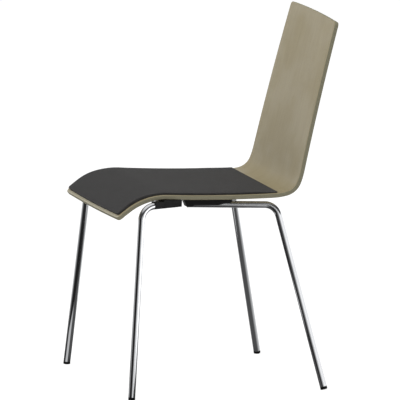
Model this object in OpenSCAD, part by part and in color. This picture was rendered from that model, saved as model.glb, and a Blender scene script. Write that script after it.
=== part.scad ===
// Visitor chair: a bent laminated shell with a thin upholstered seat pad, carried by four
// bent tube legs. Front is -Y, up is +Z, and the sitter's left side is +X. The origin is
// on the floor, at the middle of the chair's overall width and depth. Sizes are millimetres.

/* [Shell blank] */
// Thickness of the laminated shell
shell_t = 10; // [8:0.5:12]
// Width of the shell across its front edge
shell_front_w = 402; // [384:1:430]
// Width of the shell across its top edge
shell_top_w = 331; // [300:1:370]
// Radius of the two front corners
front_corner_r = 12; // [6:1:30]
// Radius of the two top corners
top_corner_r = 8; // [5:1:30]
// How far the front edge bows forward at its middle
front_bow = 2.5; // [0:0.5:12]
// How far the top edge bows upward at its middle
top_bow = 3.5; // [0:0.5:15]
// Rounding along all edges of the shell
shell_edge_r = 2.5; // [1:0.5:3.5]

/* [Shell profile] */
// Height of the seat surface at the front edge
front_edge_z = 415.5; // [395:0.5:440]
// Rise of the seat surface at the front edge, in degrees
lip_rise = 40; // [36:0.5:43]
// Radius of the first, flatter stretch behind the front edge
lip_r = 300; // [240:5:360]
// Turn of that first stretch, in degrees
lip_turn = 7.5; // [5:0.5:9]
// Radius of the waterfall curve between the front edge and the seat
waterfall_r = 155; // [145:1:170]
// Fall of the seat towards the back, where the waterfall ends, in degrees
seat_fall = 4.5; // [3:0.5:6]
// Length of the seat behind the waterfall
seat_len = 258; // [240:1:275]
// Turn of the seat over its length, which dishes it, in degrees
seat_dish = 4.2; // [3:0.2:5]
// Radius where the seat starts to rise into the bend
toe_r = 150; // [120:5:200]
// Turn of that first rise, in degrees
toe_turn = 12; // [8:1:15]
// Inner radius of the bend between seat and back
bend_r = 37; // [32:1:50]
// Radius where the bend runs out into the back
heel_r = 150; // [120:5:200]
// Turn of that run-out, in degrees
heel_turn = 10; // [7:1:13]
// Steepness of the back at its foot, in degrees from level
back_rise = 76.7; // [74:0.5:80]
// Length of the back above the bend
back_len = 355; // [320:1:390]
// How far the back sweeps backward over its length, in degrees
back_sweep = 2.6; // [0:0.2:4]

/* [Seat pad] */
// Distance from the pad's edge to the shell's edge
pad_inset = 7.5; // [6:0.5:14]
// Length of the pad along the seat
pad_len = 403; // [370:1:410]
// Height of the pad above the shell at its edge
pad_t = 5; // [4:0.5:8]
// Extra height in the middle of the pad
pad_crown = 1.6; // [0.5:0.1:3]
// Radius of the pad's corners
pad_corner_r = 7; // [4:0.5:14]
// Rounding of the pad's upper edge
pad_edge_r = 1.8; // [1:0.2:2.6]
// Thickness of the pad's fabric cover
cover_t = 0.8; // [0.6:0.1:1.2]

/* [Legs] */
// Outer diameter of the leg tube
tube_od = 16; // [14:0.5:18]
// Wall of the leg tube
tube_wall = 1.5; // [1:0.25:2]
// Radius of the tube bends, on the centre line
tube_bend_r = 34; // [28:1:42]
// How far the feet stand out beyond the front corners of the shell
foot_out = 51.5; // [42:0.5:60]
// Distance from the front edge of the shell back to the front feet
front_foot_set = 20; // [5:1:35]
// Distance from the front edge of the shell back to the rear feet
rear_foot_set = 484.5; // [465:0.5:500]
// How far the tops of the front legs, where leg and bar meet, stand out beyond those corners
front_knee_out = 7; // [0:0.5:14]
// Distance from the front edge of the shell back to the tops of the front legs
front_knee_set = 60; // [48:1:68]
// How far the inner ends of the front bars lie inside those corners
front_bar_in = 15; // [9:0.5:20]
// Distance from the front edge of the shell back to the ends of the front bars
front_bar_set = 151; // [146:1:154]
// How far the rear bars and the tops of the rear legs lie inside those corners
rear_bar_in = 31; // [26:0.5:36]
// Distance from the front edge of the shell back to the tops of the rear legs
rear_knee_set = 394; // [380:1:400]
// Distance from the front edge of the shell back to the ends of the rear bars
rear_bar_set = 182; // [177:1:190]
// Fall of the rear bars towards the back, in degrees
rear_bar_fall = 3.4; // [2:0.1:4]
// Gap between the front bars and the shell above their ends
front_bar_gap = 2.2; // [1.8:0.1:3.5]
// Gap between the rear bars and the shell above their ends
rear_bar_gap = 4.6; // [4:0.2:7]

/* [Saddles] */
// Wall of the plastic saddles beside the tube
saddle_wall = 2; // [1.5:0.1:3]
// Length of the front saddles where they reach up to the shell
front_saddle_len = 46; // [40:1:50]
// How far the front saddles stand out past the end of the bar
front_saddle_over = 7; // [5:0.5:7]
// How far the front saddles reach below the middle of the tube
front_saddle_drop = 6; // [4:0.5:7]
// Length of the sleeves that run on from the front saddles along the bar
front_sleeve_len = 24; // [10:1:28]
// Thickness of those sleeves over the tube
front_sleeve_t = 1.2; // [0.8:0.1:1.6]
// Length of the rear saddles at the shell
rear_saddle_len = 115; // [105:1:130]
// How far the rear saddles stand out past the end of the bar
rear_saddle_over = 12; // [9:0.5:15]
// How far the rear saddles reach below the middle of the tube
rear_saddle_drop = 1; // [0:0.5:2]
// Length of the deep nose of the rear saddles
rear_nose_len = 20; // [16:1:26]
// How far that nose reaches below the middle of the tube
rear_nose_drop = 5; // [3:0.5:7]
// Length of the slanted run-out at the outer end of the rear saddles
rear_saddle_ramp = 34; // [20:1:44]
// Lean of the nose of the rear saddles
rear_nose_lean = 6; // [0:0.5:7]
// Length of the steel lugs behind the rear saddles
lug_len = 12; // [8:1:16]
// Thickness of the steel lugs
lug_t = 5; // [3:0.5:8]

/* [Straps and fasteners] */
// Width of the front cross strap
front_strap_w = 28; // [24:1:32]
// Width of the rear cross strap
rear_strap_w = 40; // [30:1:50]
// Distance from the ends of the front bars to the middle of the front strap
front_strap_set = 19; // [17:1:24]
// Distance from the ends of the rear bars to the middle of the rear strap
rear_strap_set = 50; // [35:1:70]
// Thickness of the cross straps
strap_t = 4; // [3:0.5:5]
// How far the frame screws lie inside the front corners of the shell
screw_in = 76; // [60:1:100]
// Thread diameter of the frame screws
screw_d = 6; // [5:0.5:6.5]
// Diameter of the screw heads
screw_head_d = 12; // [11:0.5:14]
// Height of the screw heads
screw_head_h = 3.4; // [3:0.2:4.4]
// Diameter of the spacer bushes between strap and shell
bush_d = 20; // [18:0.5:24]
// Outer diameter of the threaded inserts in the shell
insert_d = 9.5; // [9:0.5:11]
// Depth of the threaded inserts in the shell
insert_h = 6.5; // [5:0.25:7]

/* [Glides and plugs] */
// Height of the glide below the tube
glide_h = 6.5; // [5:0.5:8]
// Height of the plug's cap outside the tube
plug_h = 2.5; // [1.5:0.5:3.5]
// Rounding of the rims of glides and plugs
glide_rim_r = 1.2; // [0.8:0.1:1.4]
// Length of the stems that hold glides and plugs in the tube
stem_len = 18; // [12:1:24]
// Height of the ribs that grip the inside of the tube
rib_h = 0.35; // [0.2:0.05:0.5]

/* [Clearances] */
// Gap between the shell and what lies against it
seat_gap = 0.3; // [0.2:0.05:0.5]
// Gap between a plug or a saddle and the tube
plug_gap = 0.1; // [0.05:0.05:0.2]
// Gap between a strap and the tube that it is welded to
weld_gap = 0.05; // [0.02:0.01:0.1]
// Radial gap between the frame screws and the holes that they pass
screw_gap = 0.3; // [0.2:0.05:0.5]
// Radial gap between screw and insert, and between insert and shell
thread_gap = 0.05; // [0.02:0.01:0.1]
// Depth that the floor takes off the lowest rim of a glide
glide_flat = 1; // [0.6:0.1:1.2]

/* [Hidden] */
$fn = 48;

veneer_colour = [0.60, 0.57, 0.49];
fabric_colour = [0.22, 0.22, 0.23];
foam_colour = [0.45, 0.45, 0.42];
chrome_colour = [0.80, 0.81, 0.83];
plastic_colour = [0.07, 0.07, 0.07];
zinc_colour = [0.66, 0.66, 0.64];

tube_r = tube_od / 2;
bore_r = tube_r - tube_wall;
stem_r = bore_r - plug_gap - rib_h;

// How far a cut runs on past the face that it opens
past = 1;

function unit(v) = v / norm(v);

// Legs, saddles and lugs are built for the sitter's right side, and mirrored for the left
module mirrored() {
    mirror([1, 0, 0])
        children();
}

// The shell's profile, as the path of its upper face from the front edge to the top edge.
// Each stretch is a length and the turn over that length, in degrees, upward positive.
function arc_len(r, turn) = r * turn * PI / 180;
waterfall_turn = lip_rise - lip_turn + seat_fall;
bend_turn = back_rise - heel_turn - toe_turn - seat_dish + seat_fall;
profile = [
    [arc_len(lip_r, lip_turn), -lip_turn],
    [arc_len(waterfall_r, waterfall_turn), -waterfall_turn],
    [seat_len, seat_dish],
    [arc_len(toe_r, toe_turn), toe_turn],
    [arc_len(bend_r, bend_turn), bend_turn],
    [arc_len(heel_r, heel_turn), heel_turn],
    [back_len, -back_sweep]];
last = len(profile) - 1;

// Moves a place on the path, [y, z, slope], along an arc of the given length and turn
function step_on(p, run, turn) =
    let (half = turn / 2)
    let (chord = abs(half) < 0.001 ? run : run * sin(half) / (half * PI / 180))
    [p[0] + chord * cos(p[2] + half), p[1] + chord * sin(p[2] + half), p[2] + turn];

// Place on the path at the developed length s from the start place
function path_at(s, p, i = 0) =
    i == last || s <= profile[i][0]
    ? step_on(p, s, profile[i][1] * s / profile[i][0])
    : path_at(s - profile[i][0], step_on(p, profile[i][0], profile[i][1]), i + 1);

function run_before(i) = i == 0 ? 0 : run_before(i - 1) + profile[i - 1][0];
blank_len = run_before(last) + profile[last][0];

// The chair's depth runs from the rounded front edge to the rounded rear face at the top
top_place = path_at(blank_len, [0, 0, lip_rise]);
function rim(slope) = shell_edge_r * (cos(slope) + sin(slope) - 1);
rear_reach = top_place[0] + shell_t * sin(top_place[2]) - rim(top_place[2]);
front_y = -(rear_reach + rim(lip_rise)) / 2;
start = [front_y, front_edge_z, lip_rise];

// Point at developed length s, at x across, and at height h over the shell's upper face
function on_shell(s, x, h) =
    let (p = path_at(s, start))
    [x, p[0] - h * sin(p[2]), p[1] + h * cos(p[2])];

// Developed lengths of the rows that facet the path: close in the bends, wide elsewhere
row_turn = 3;
row_run = 42;
function rows_in(i) = max(ceil(abs(profile[i][1]) / row_turn), ceil(profile[i][0] / row_run));
rows = [for (i = [0:last]) for (k = [0:rows_in(i) - 1])
    run_before(i) + profile[i][0] * k / rows_in(i)];

// Outline of a flat blank as rows [s, x, ns, nx]: a point of the right edge and its outward
// normal. Row by row it runs from the front edge, round the corner, up the side, round the
// far corner and along the far edge. The left edge mirrors it.
corner_steps = 5;
bow_steps = 4;
function half_w(s) = (shell_front_w + (shell_top_w - shell_front_w) * s / blank_len) / 2;
edge_slope = (shell_top_w - shell_front_w) / 2 / blank_len;
function edge_row(s, x, ns, nx) = [s, x, ns / norm([ns, nx]), nx / norm([ns, nx])];
function blank(s0, s1, inset, r0, r1, bow0, bow1) =
    let (w0 = half_w(s0) - inset, w1 = half_w(s1) - inset)
    let (c0 = s0 + bow0 * pow(1 - r0 / w0, 2) + r0, c1 = s1 - bow1 * pow(1 - r1 / w1, 2) - r1)
    let (margin = 3)
    let (m0 = bow0 > 0 ? bow_steps : 1, m1 = bow1 > 0 ? bow_steps : 1)
    concat(
        [for (k = [1:m0]) let (x = (w0 - r0) * k / m0)
            edge_row(s0 + bow0 * pow(x / w0, 2), x, -1, 2 * bow0 * x / (w0 * w0))],
        [for (k = [1:corner_steps]) let (a = 90 * k / corner_steps)
            edge_row(c0 - r0 * cos(a), half_w(c0) - inset - r0 + r0 * sin(a), -cos(a), sin(a))],
        [for (s = rows) if (s > c0 + margin && s < c1 - margin)
            edge_row(s, half_w(s) - inset, -edge_slope, 1)],
        [for (k = [corner_steps:-1:1]) let (a = 90 * k / corner_steps)
            edge_row(c1 + r1 * cos(a), half_w(c1) - inset - r1 + r1 * sin(a), cos(a), sin(a))],
        [for (k = [m1:-1:1]) let (x = (w1 - r1) * k / m1)
            edge_row(s1 - bow1 * pow(x / w1, 2), x, 1, 2 * bow1 * x / (w1 * w1))]);

// Closed loop of the outline, drawn in by an inset, shrunk about its middle, at height h
function loop(edge, inset, shrink, h) =
    let (mid = (edge[0][0] + edge[len(edge) - 1][0]) / 2)
    let (place = [for (e = edge)
        [mid + (e[0] - inset * e[2] - mid) * shrink, (e[1] - inset * e[3]) * shrink]])
    concat([for (p = place) on_shell(p[0], p[1], h)],
        [for (i = [len(place) - 1:-1:0]) on_shell(place[i][0], -place[i][1], h)]);

// Solid through a stack of loops, from the upper face to the lower one. The two faces are
// closed by strips across the width, which lie flat because the shell curves one way only.
module stack(loops) {
    n = len(loops[0]);
    half = n / 2;
    deep = len(loops) - 1;
    base = deep * n;
    upper = [for (i = [0:half - 2]) [i, n - 1 - i, n - 2 - i, i + 1]];
    lower = [for (i = [0:half - 2]) [base + i, base + i + 1, base + n - 2 - i, base + n - 1 - i]];
    wall_a = [for (j = [0:deep - 1]) for (k = [0:n - 1])
        [j * n + k, j * n + (k + 1) % n, (j + 1) * n + (k + 1) % n]];
    wall_b = [for (j = [0:deep - 1]) for (k = [0:n - 1])
        [j * n + k, (j + 1) * n + (k + 1) % n, (j + 1) * n + k]];
    polyhedron(points = [for (l = loops) each l], faces = concat(upper, lower, wall_a, wall_b));
}

// Quarter-round steps of an edge, as [how far drawn in, how far down]
round_steps = 3;
function quarter(r) = [for (k = [0:round_steps])
    let (a = 90 * k / round_steps) [r * (1 - sin(a)), r * (1 - cos(a))]];

// The laminated shell
shell_edge = blank(0, blank_len, 0, front_corner_r, top_corner_r, front_bow, top_bow);
module shell_board() {
    q = quarter(shell_edge_r);
    stack(concat(
        [for (e = q) loop(shell_edge, e[0], 1, -e[1])],
        [for (i = [round_steps:-1:0]) loop(shell_edge, q[i][0], 1, q[i][1] - shell_t)]));
}

// The pad's outer form, drawn in all round and lowered by an inset, down to a base height
pad_edge = blank(pad_inset, pad_inset + pad_len, pad_inset, pad_corner_r, pad_corner_r,
    front_bow, 0);
crown_rings = [0.3, 0.62, 0.88];
module pad_form(inset, base) {
    top = pad_t - inset;
    q = quarter(pad_edge_r);
    stack(concat(
        [for (f = crown_rings) loop(pad_edge, inset, f, top + pad_crown * (1 - f * f))],
        [for (e = q) loop(pad_edge, inset + e[0], 1, top - e[1])],
        [loop(pad_edge, inset, 1, base)]));
}

// Height of the shell's lower face over a place y, from points along the seat
under_face = [for (s = rows) if (s < run_before(4)) let (p = on_shell(s, 0, -shell_t)) [p[1], p[2]]];
function under_z(y) = lookup(y, under_face);

// Everything above the shell's lower face and the gap under it, to trim what lies there
module under_trim() {
    reach = shell_front_w;
    far = under_face[len(under_face) - 1];
    rotate([90, 0, 90])
        linear_extrude(height = 2 * reach, center = true)
            polygon(concat([for (p = under_face) [p[0], p[1] - seat_gap]],
                [[far[0], far[1] + reach], [under_face[0][0], far[1] + reach]]));
}

// Places on the right side's legs. A knee is where the straight lines of leg and bar meet.
corner_x = -shell_front_w / 2;
front_bar_y = front_y + front_bar_set;
front_bar_z = under_z(front_bar_y) - front_bar_gap - tube_r;
front_end = [corner_x + front_bar_in, front_bar_y, front_bar_z];
front_knee = [corner_x - front_knee_out, front_y + front_knee_set, front_bar_z];
rear_bar_y = front_y + rear_bar_set;
rear_end = [corner_x + rear_bar_in, rear_bar_y, under_z(rear_bar_y) - rear_bar_gap - tube_r];
rear_knee_drop = (rear_knee_set - rear_bar_set) * tan(rear_bar_fall);
rear_knee = [rear_end[0], front_y + rear_knee_set, rear_end[2] - rear_knee_drop];

// Foot of a leg: the middle of the glide's lower face, whose low rim reaches the floor
function rim_drop(tilt) = (tube_r - glide_rim_r) * sin(tilt) + glide_rim_r * (1 - cos(tilt));
function foot_place(set, knee) =
    let (spot = [corner_x - foot_out, front_y + set, 0])
    let (tilt = acos(unit(knee - spot)[2]))
    [spot[0], spot[1], rim_drop(tilt) - glide_flat];
front_foot = foot_place(front_foot_set, front_knee);
rear_foot = foot_place(rear_foot_set, rear_knee);

// Turns a local frame, with its z along one direction and its x towards another
module along(place, z_dir, x_hint) {
    z = unit(z_dir);
    x = unit(x_hint - (x_hint * z) * z);
    y = cross(z, x);
    multmatrix([[x[0], y[0], z[0], place[0]],
        [x[1], y[1], z[1], place[1]],
        [x[2], y[2], z[2], place[2]]])
        children();
}

// A bent rod of radius r: straight, round a knee, and straight. The bend is a hair thicker,
// and the straights run on into it, so the three stretches always join as one.
bend_swell = 0.03;
bend_lap = 0.5;
module bent_rod(from, knee, to, r) {
    t1 = unit(knee - from);
    t2 = unit(to - knee);
    turn = acos(t1 * t2);
    back_off = tube_bend_r * tan(turn / 2);
    inward = unit(t2 - (t2 * t1) * t1);
    a = knee - back_off * t1;
    b = knee + back_off * t2;
    along(from, t1, inward)
        cylinder(r = r, h = norm(a - from) + bend_lap);
    along(a + tube_bend_r * inward, cross(t1, inward), -inward)
        rotate_extrude(angle = turn)
            translate([tube_bend_r, 0])
                circle(r = r + bend_swell);
    along(b - bend_lap * t2, t2, inward)
        cylinder(r = r, h = norm(to - b) + bend_lap);
}

module leg_tube(foot, knee, to) {
    t1 = unit(knee - foot);
    from = foot + glide_h * t1;
    color(chrome_colour)
        difference() {
            bent_rod(from, knee, to, tube_r);
            bent_rod(from - past * t1, knee, to + past * unit(to - knee), bore_r);
        }
}

// Stem with grip ribs, from z = 0 up, for glides and plugs
module ribbed_stem() {
    ribs = 3;
    pitch = stem_len / (ribs + 1);
    rib_t = pitch / ribs;
    tip_h = 1.5;
    cylinder(r = stem_r, h = stem_len - tip_h);
    translate([0, 0, stem_len - tip_h])
        cylinder(r1 = stem_r, r2 = stem_r - tip_h, h = tip_h);
    for (k = [1:ribs])
        translate([0, 0, k * pitch - rib_t])
            cylinder(r = stem_r + rib_h, h = rib_t);
}

// Round shoe on a ribbed stem, from its outer face at z = 0 inward
module shoe(h) {
    rotate_extrude() {
        square([tube_r - glide_rim_r, h]);
        translate([0, glide_rim_r])
            square([tube_r, h - glide_rim_r]);
        translate([tube_r - glide_rim_r, glide_rim_r])
            circle(r = glide_rim_r);
    }
    translate([0, 0, h])
        ribbed_stem();
}

// Floor glide: a shoe as wide as the tube, cut flat where it stands on the floor
module glide(foot, knee) {
    block = 4 * tube_od;
    color(plastic_colour)
        difference() {
            along(foot, knee - foot, [1, 0, 0])
                shoe(glide_h);
            translate([foot[0] - block / 2, foot[1] - block / 2, -block])
                cube(block);
        }
}

// Plug in the inner end of a bar
module bar_plug(to, knee) {
    color(plastic_colour)
        along(to - plug_h * unit(knee - to), knee - to, [0, 0, 1])
            shoe(plug_h);
}

// Side views of the saddles: x runs from the bar's end towards the knee, y is up from the
// bar's centre line. Both are trimmed to the shell's lower face afterwards.
saddle_top = 3 * tube_r;
front_run = front_saddle_len - front_saddle_over;
front_lean = 1;
front_saddle_view = [[front_lean - front_saddle_over, -front_saddle_drop],
    [-front_saddle_over, tube_r], [-front_saddle_over, saddle_top], [front_run, saddle_top],
    [front_run + saddle_wall, tube_r + front_sleeve_t],
    [front_run + front_sleeve_len, tube_r + front_sleeve_t],
    [front_run + front_sleeve_len, -front_saddle_drop]];
rear_run = rear_saddle_len - rear_saddle_over;
rear_nose = rear_nose_len - rear_saddle_over;
nose_step = rear_nose_drop - rear_saddle_drop;
rear_saddle_view = [[rear_nose_lean - rear_saddle_over, -rear_nose_drop],
    [-rear_saddle_over, tube_r], [-rear_saddle_over, saddle_top], [rear_run, saddle_top],
    [rear_run, tube_r], [rear_run - rear_saddle_ramp, -rear_saddle_drop],
    [rear_nose + nose_step, -rear_saddle_drop], [rear_nose, -rear_nose_drop]];

// Room that a cross strap needs inward of a bar, in a saddle's inner wall
module strap_slot(mid, normal, width) {
    along([0, mid[1], mid[2]], normal, [1, 0, 0])
        translate([mid[0], -width / 2 - seat_gap, -saddle_top])
            cube([-mid[0], width + 2 * seat_gap, saddle_top + strap_t / 2 + seat_gap]);
}

// Plastic saddle over a bar
module saddle(view, to, knee) {
    dir = unit(knee - to);
    level = unit(cross(dir, [0, 0, 1]));
    width = tube_od + 2 * saddle_wall;
    seat_r = tube_r + plug_gap;
    behind = plug_h + plug_gap;
    color(plastic_colour)
        difference() {
            along(to, level, dir)
                linear_extrude(height = width, center = true)
                    polygon(view);
            along(to - behind * dir, dir, level)
                cylinder(r = seat_r, h = behind + rear_saddle_len + tube_od);
            strap_slot(front_strap_mid, front_normal, front_strap_w);
            strap_slot(rear_strap_mid, rear_normal, rear_strap_w);
            under_trim();
        }
}

// Place on a bar's centre line at a distance behind or before its end
function bar_at(to, knee, set) = to + (knee - to) * set / abs(knee[1] - to[1]);

// Steel lug welded on a rear bar, which carries the shell behind the saddle
module lug(to, knee) {
    dir = unit(knee - to);
    level = unit(cross(dir, [0, 0, 1]));
    first = rear_run + 2 * weld_gap;
    color(chrome_colour)
        difference() {
            along(to, level, dir)
                translate([first, 0, -lug_t / 2])
                    cube([lug_len, saddle_top, lug_t]);
            along(to, dir, level)
                cylinder(r = tube_r + weld_gap, h = rear_run + 2 * lug_len);
            under_trim();
        }
}

// Cross straps between the left and right bars, level with the bars' centre lines
front_strap_mid = bar_at(front_end, front_knee, front_strap_set);
rear_strap_mid = bar_at(rear_end, rear_knee, rear_strap_set);
rear_slope = (rear_knee[2] - rear_end[2]) / (rear_knee[1] - rear_end[1]);
front_normal = [0, 0, 1];
rear_normal = unit([0, -rear_slope, 1]);

// Places of the frame screws, each with its axis and its height to the shell's lower face
function screw_places(mid, normal) =
    [for (side = [-1, 1]) [[side * (corner_x + screw_in), mid[1], mid[2]], normal,
        (under_z(mid[1]) - mid[2]) * normal[2]]];
screws = concat(screw_places(front_strap_mid, front_normal),
    screw_places(rear_strap_mid, rear_normal));

module at_screws() {
    for (s = screws) {
        $rise = s[2];
        along(s[0], s[1], [1, 0, 0])
            children();
    }
}

module weld_seat(to, knee) {
    along(to, knee - to, [0, 0, 1])
        cylinder(r = tube_r + weld_gap, h = norm(knee - to));
}

module strap(mid, normal, width, to, knee) {
    color(chrome_colour)
        difference() {
            along([0, mid[1], mid[2]], normal, [1, 0, 0])
                translate([mid[0], -width / 2, -strap_t / 2])
                    cube([-2 * mid[0], width, strap_t]);
            weld_seat(to, knee);
            mirrored()
                weld_seat(to, knee);
            at_screws()
                cylinder(r = screw_d / 2 + screw_gap, h = 2 * strap_t, center = true);
        }
}

// Spacer bushes between the straps and the shell's lower face
module bushes() {
    color(plastic_colour)
        difference() {
            at_screws()
                translate([0, 0, strap_t / 2])
                    cylinder(d = bush_d, h = $rise);
            at_screws()
                cylinder(r = screw_d / 2 + screw_gap, h = 2 * saddle_top);
            under_trim();
        }
}

// Frame screws, from under the straps up into the inserts
insert_skin = 0.3;
module machine_screws() {
    tip_gap = 1;
    chamfer = 1;
    socket_d = screw_head_d / 3;
    socket_deep = 2;
    head_z = -strap_t / 2 - screw_head_h;
    color(zinc_colour)
        at_screws()
            difference() {
                union() {
                    translate([0, 0, head_z])
                        cylinder(d1 = screw_head_d - 2 * chamfer, d2 = screw_head_d, h = chamfer);
                    translate([0, 0, head_z + chamfer])
                        cylinder(d = screw_head_d, h = screw_head_h - chamfer);
                    translate([0, 0, -strap_t / 2])
                        cylinder(d = screw_d, h = strap_t / 2 + $rise + insert_h - tip_gap);
                }
                translate([0, 0, head_z - past])
                    cylinder(d = socket_d, h = past + socket_deep, $fn = 6);
            }
}

// Threaded inserts, pressed into blind holes in the shell from below
module inserts() {
    color(zinc_colour)
        at_screws()
            translate([0, 0, $rise + insert_skin])
                difference() {
                    cylinder(d = insert_d, h = insert_h);
                    translate([0, 0, -past])
                        cylinder(r = screw_d / 2 + thread_gap, h = insert_h + 2 * past);
                }
}

module shell() {
    color(veneer_colour)
        difference() {
            shell_board();
            at_screws()
                translate([0, 0, $rise - past])
                    cylinder(r = insert_d / 2 + thread_gap, h = past + insert_h + 2 * insert_skin);
        }
}

module pad_foam() {
    color(foam_colour)
        pad_form(cover_t + seat_gap, seat_gap);
}

module pad_cover() {
    color(fabric_colour)
        difference() {
            pad_form(0, seat_gap);
            pad_form(cover_t, -past);
        }
}

shell();
pad_foam();
pad_cover();
mirrored() leg_tube(front_foot, front_knee, front_end);  // front_left_leg
leg_tube(front_foot, front_knee, front_end);  // front_right_leg
mirrored() leg_tube(rear_foot, rear_knee, rear_end);  // rear_left_leg
leg_tube(rear_foot, rear_knee, rear_end);  // rear_right_leg
mirrored() glide(front_foot, front_knee);  // front_left_glide
glide(front_foot, front_knee);  // front_right_glide
mirrored() glide(rear_foot, rear_knee);  // rear_left_glide
glide(rear_foot, rear_knee);  // rear_right_glide
mirrored() bar_plug(front_end, front_knee);  // front_left_plug
bar_plug(front_end, front_knee);  // front_right_plug
mirrored() bar_plug(rear_end, rear_knee);  // rear_left_plug
bar_plug(rear_end, rear_knee);  // rear_right_plug
mirrored() saddle(front_saddle_view, front_end, front_knee);  // front_left_saddle
saddle(front_saddle_view, front_end, front_knee);  // front_right_saddle
mirrored() saddle(rear_saddle_view, rear_end, rear_knee);  // rear_left_saddle
saddle(rear_saddle_view, rear_end, rear_knee);  // rear_right_saddle
mirrored() lug(rear_end, rear_knee);  // rear_left_lug
lug(rear_end, rear_knee);  // rear_right_lug
strap(front_strap_mid, front_normal, front_strap_w, front_end, front_knee);  // front_strap
strap(rear_strap_mid, rear_normal, rear_strap_w, rear_end, rear_knee);  // rear_strap
bushes();  // strap_bushes
machine_screws();  // frame_screws
inserts();  // shell_inserts
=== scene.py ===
import logging
import math
from abc import ABC, abstractmethod
from contextlib import contextmanager
from dataclasses import dataclass
from enum import Enum
from typing import Callable, Iterator, Sequence

import bpy
import numpy as np
from mathutils import Matrix, Vector


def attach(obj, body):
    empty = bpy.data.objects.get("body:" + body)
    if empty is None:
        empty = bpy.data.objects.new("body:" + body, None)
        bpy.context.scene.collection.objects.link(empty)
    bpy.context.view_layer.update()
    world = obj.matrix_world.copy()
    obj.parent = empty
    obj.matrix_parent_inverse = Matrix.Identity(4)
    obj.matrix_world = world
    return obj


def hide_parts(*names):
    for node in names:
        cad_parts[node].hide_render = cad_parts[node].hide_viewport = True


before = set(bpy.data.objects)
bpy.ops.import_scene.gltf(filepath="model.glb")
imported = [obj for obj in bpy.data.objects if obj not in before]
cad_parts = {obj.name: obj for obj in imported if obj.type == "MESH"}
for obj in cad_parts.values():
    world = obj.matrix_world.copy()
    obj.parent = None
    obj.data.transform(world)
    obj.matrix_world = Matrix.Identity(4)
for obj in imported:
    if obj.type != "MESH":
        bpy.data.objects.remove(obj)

LOG = logging.getLogger("visitor_chair")
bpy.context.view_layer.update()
BODY = "root"
MM = 0.001

Triple = tuple[float, float, float]
Colour = Triple
Pair = tuple[float, float]
Stops = tuple[Pair, ...]

WHITE: Colour = (1.0, 1.0, 1.0)
SAME_PLACE = 0.01 * MM
SAME_COLUMN = 0.1 * MM


# Modelling helpers

class Pick(Enum):
    """The kinds of mesh element that can be picked in edit mode."""

    CORNERS = "VERT"
    EDGES = "EDGE"


class Side(Enum):
    """The two sides of the chair, as the sitter sees them."""

    LEFT = "left"
    RIGHT = "right"


class End(Enum):
    """The two ends of the seat."""

    FRONT = "front"
    REAR = "rear"


def clear_selection() -> None:
    """Deselect every object."""
    bpy.ops.object.select_all(action="DESELECT")


def activate(piece: bpy.types.Object) -> None:
    """Make one object the only selected and active one.

    Args:
        piece: the object that the next operators act on.
    """
    clear_selection()
    piece.select_set(True)
    bpy.context.view_layer.objects.active = piece


@contextmanager
def editing(piece: bpy.types.Object, pick: Pick = Pick.CORNERS) -> Iterator[None]:
    """Open a piece in edit mode for a while.

    Args:
        piece: the object to edit.
        pick: the kind of element that is selected.

    Yields:
        Nothing, while edit mode is open.
    """
    activate(piece)
    bpy.ops.object.mode_set(mode="EDIT")
    bpy.ops.mesh.select_mode(type=pick.value)
    try:
        yield
    finally:
        bpy.ops.object.mode_set(mode="OBJECT")


def choose(piece: bpy.types.Object, test: Callable[[Vector], bool]) -> None:
    """Select in edit mode the corners whose place passes a test.

    Args:
        piece: the object being edited.
        test: takes a corner's place and says whether it is wanted.
    """
    bpy.ops.mesh.select_mode(type=Pick.CORNERS.value)
    bpy.ops.mesh.select_all(action="DESELECT")
    bpy.ops.object.mode_set(mode="OBJECT")
    for corner in piece.data.vertices:
        corner.select = test(corner.co)
    bpy.ops.object.mode_set(mode="EDIT")


def extrude_by(step: Vector) -> None:
    """Extrude the selection in edit mode and move it by a step, in metres."""
    bpy.ops.mesh.extrude_region_move(TRANSFORM_OT_translate={"value": tuple(step)})


def modify(piece: bpy.types.Object, kind: str, **settings: object) -> None:
    """Add a modifier, set it up and apply it.

    Args:
        piece: the object to change.
        kind: the modifier's type.
        settings: its settings by name.
    """
    activate(piece)
    modifier = piece.modifiers.new(kind.title(), kind)
    for name, value in settings.items():
        setattr(modifier, name, value)
    bpy.ops.object.modifier_apply(modifier=modifier.name)


def soften_edges(piece: bpy.types.Object, width: float, sharper_than: float,
                 steps: int = 2, clamped: bool = True) -> None:
    """Round all edges that are sharper than an angle.

    Args:
        piece: the object to round.
        width: the width of the rounding, in metres.
        sharper_than: the least edge angle that is rounded, in degrees.
        steps: the number of steps in the rounding.
        clamped: whether the rounding stops where it would overlap.
    """
    modify(piece, "BEVEL", width=width, segments=steps, limit_method="ANGLE",
           angle_limit=math.radians(sharper_than), use_clamp_overlap=clamped)


def smooth(piece: bpy.types.Object, angle: float, weighted: bool = True) -> None:
    """Shade a piece smooth up to an angle, with flat faces kept flat.

    Args:
        piece: the object to shade.
        angle: the largest edge angle that is smoothed, in degrees.
        weighted: whether large faces keep their own direction.
    """
    activate(piece)
    bpy.ops.object.shade_smooth_by_angle(angle=math.radians(angle))
    if weighted:
        modify(piece, "WEIGHTED_NORMAL", keep_sharp=True, weight=60)


def close_outwards(piece: bpy.types.Object, weld: float = 1e-6) -> None:
    """Merge doubled corners and turn all faces outwards.

    Args:
        piece: the object to clean.
        weld: the distance under which corners are merged, in metres.
    """
    with editing(piece):
        bpy.ops.mesh.select_all(action="SELECT")
        bpy.ops.mesh.remove_doubles(threshold=weld)
        bpy.ops.mesh.normals_make_consistent(inside=False)


def settle(piece: bpy.types.Object) -> None:
    """Move an object's place, turn and size into its mesh."""
    activate(piece)
    bpy.ops.object.transform_apply(location=True, rotation=True, scale=True)


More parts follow.
